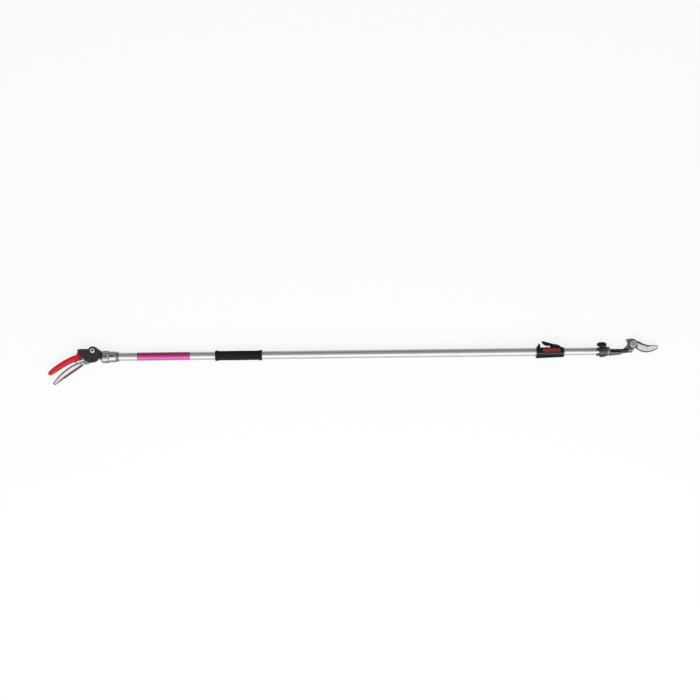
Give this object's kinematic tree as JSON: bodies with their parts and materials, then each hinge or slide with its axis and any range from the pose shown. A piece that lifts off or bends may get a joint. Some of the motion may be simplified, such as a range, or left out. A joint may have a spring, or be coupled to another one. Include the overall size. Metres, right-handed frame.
{
  "type": "telescopic pole pruner",
  "caption": "Long-reach cut-and-hold bypass pruner: curved red grip and squeeze lever, sliding aluminium pole with a thumb lock, and a wire-pulled blade head.",
  "frame": {"origin": "on the rear cover's flat outside, beside the pole's axis line, where the tool rests on its side; the pole's axis is 18 mm above it", "axes": "+X along the pole from the handles to the blades, +Y from the squeeze lever towards the fixed grip, +Z out of the front cover"},
  "size_m": [1.8813, 0.1232, 0.0376],
  "materials": {
    "cast_metal": "cast and tumbled, satin",
    "tube_metal": "drawn tube, clear anodised",
    "steel": "ground or bright drawn",
    "dark_steel": "blackened",
    "red_vinyl": "dipped soft vinyl, satin",
    "black_plastic": "moulded, fine grain",
    "black_foam": "closed-cell foam, matt",
    "red_plastic": "moulded, satin",
    "magenta_film": "printed film, plain",
    "nylon": "natural nylon"
  },
  "bodies": {
    "handle": {"handle_body": "cast_metal", "front_cover": "black_plastic", "rear_cover": "black_plastic", "pivot_bolt": "steel", "pivot_nut": "dark_steel", "cover_screw_1": "dark_steel", "cover_screw_2": "dark_steel", "cover_screw_3": "dark_steel", "wire_fairlead": "nylon", "tube_collar": "cast_metal", "collar_ring": "black_plastic", "grip_sleeve": "red_vinyl", "outer_tube": "tube_metal", "label_band": "magenta_film", "foam_grip": "black_foam", "lock_housing": "black_plastic", "lock_pin": "steel", "lock_spring": "steel"},
    "squeeze_lever": {"trigger_lever": "cast_metal", "finger_pad": "red_vinyl", "reel_pin": "steel", "brake_pin": "steel", "take_up_spring": "steel"},
    "reel": {"wire_reel": "nylon", "wire_winding": "steel"},
    "brake": {"reel_brake": "dark_steel"},
    "thumb_lever": {"lock_lever": "black_plastic", "lock_link_pin": "steel"},
    "saddle": {"lock_saddle": "red_plastic"},
    "inner_pole": {"inner_tube": "tube_metal", "inner_tube_plug": "nylon", "head_clamp": "cast_metal", "clamp_stud": "steel", "swivel_ring": "cast_metal", "pull_wire": "steel"},
    "knob": {"clamp_knob": "black_plastic"},
    "head": {"head_arm": "cast_metal", "hook_blade": "steel", "foot_rivet_1": "dark_steel", "foot_rivet_2": "dark_steel", "blade_bolt": "steel", "blade_nut": "dark_steel", "blade_washer": "steel", "return_spring": "dark_steel"},
    "blade": {"cutting_blade": "steel", "holding_plate": "steel", "holder_rivet_1": "steel", "holder_rivet_2": "steel", "tail_pin": "steel"},
    "wire_fitting": {"wire_end": "dark_steel"}
  },
  "joints": [
    {"name": "pole_extend", "type": "slide", "parent": "handle", "child": "inner_pole", "axis": [1, 0, 0], "range_m": [0, 1.1], "deforming": ["pull_wire"]},
    {"name": "lever_open", "type": "hinge", "parent": "handle", "child": "squeeze_lever", "pos_m": [0.0021, 0.0208, 0.018], "axis": [0, 0, 1], "range_deg": [0, 22], "deforming": ["pull_wire"]},
    {"name": "reel_turn", "type": "hinge", "parent": "squeeze_lever", "child": "reel", "pos_m": [-0.007, 0.0015, 0.018], "axis": [0, 0, 1], "range_deg": [0, 8840], "deforming": ["take_up_spring"]},
    {"name": "brake_lift", "type": "hinge", "parent": "squeeze_lever", "child": "brake", "pos_m": [-0.013, 0.018, 0.018], "axis": [0, 0, 1], "range_deg": [-15.2, 0]},
    {"name": "lock_press", "type": "hinge", "parent": "handle", "child": "thumb_lever", "pos_m": [1.4225, 0.0195, 0.018], "axis": [0, 0, 1], "range_deg": [0, 6], "stiffness_Nm_per_rad": 1.5, "deforming": ["lock_spring"]},
    {"name": "saddle_lift", "type": "slide", "parent": "handle", "child": "saddle", "axis": [0, 1, 0], "range_m": [0, 0.0015]},
    {"name": "knob_turn", "type": "hinge", "parent": "inner_pole", "child": "knob", "pos_m": [1.569, 0.02, 0.018], "axis": [0, 1, 0], "range_deg": [0, 360]},
    {"name": "head_swivel", "type": "hinge", "parent": "inner_pole", "child": "head", "pos_m": [1.589, 0, 0.018], "axis": [1, 0, 0], "range_deg": [-90, 90]},
    {"name": "blade_swing", "type": "hinge", "parent": "head", "child": "blade", "pos_m": [1.6665, 0.021, 0.018], "axis": [0, 0, 1], "range_deg": [0, 24.7]},
    {"name": "wire_pull", "type": "slide", "parent": "head", "child": "wire_fitting", "axis": [1, 0, 0], "range_m": [0, 0.0082], "deforming": ["return_spring", "pull_wire"]}
  ],
  "couplings": [
    {"joint": "blade_swing", "follows": "lever_open", "ratio": 1.1182},
    {"joint": "wire_pull", "follows": "lever_open", "m_per_rad": 0.0212},
    {"joint": "brake_lift", "follows": "lever_open", "ratio": -0.6818},
    {"joint": "reel_turn", "follows": "pole_extend", "rad_per_m": 140},
    {"joint": "lock_press", "follows": "saddle_lift", "rad_per_m": 69.8}
  ]
}
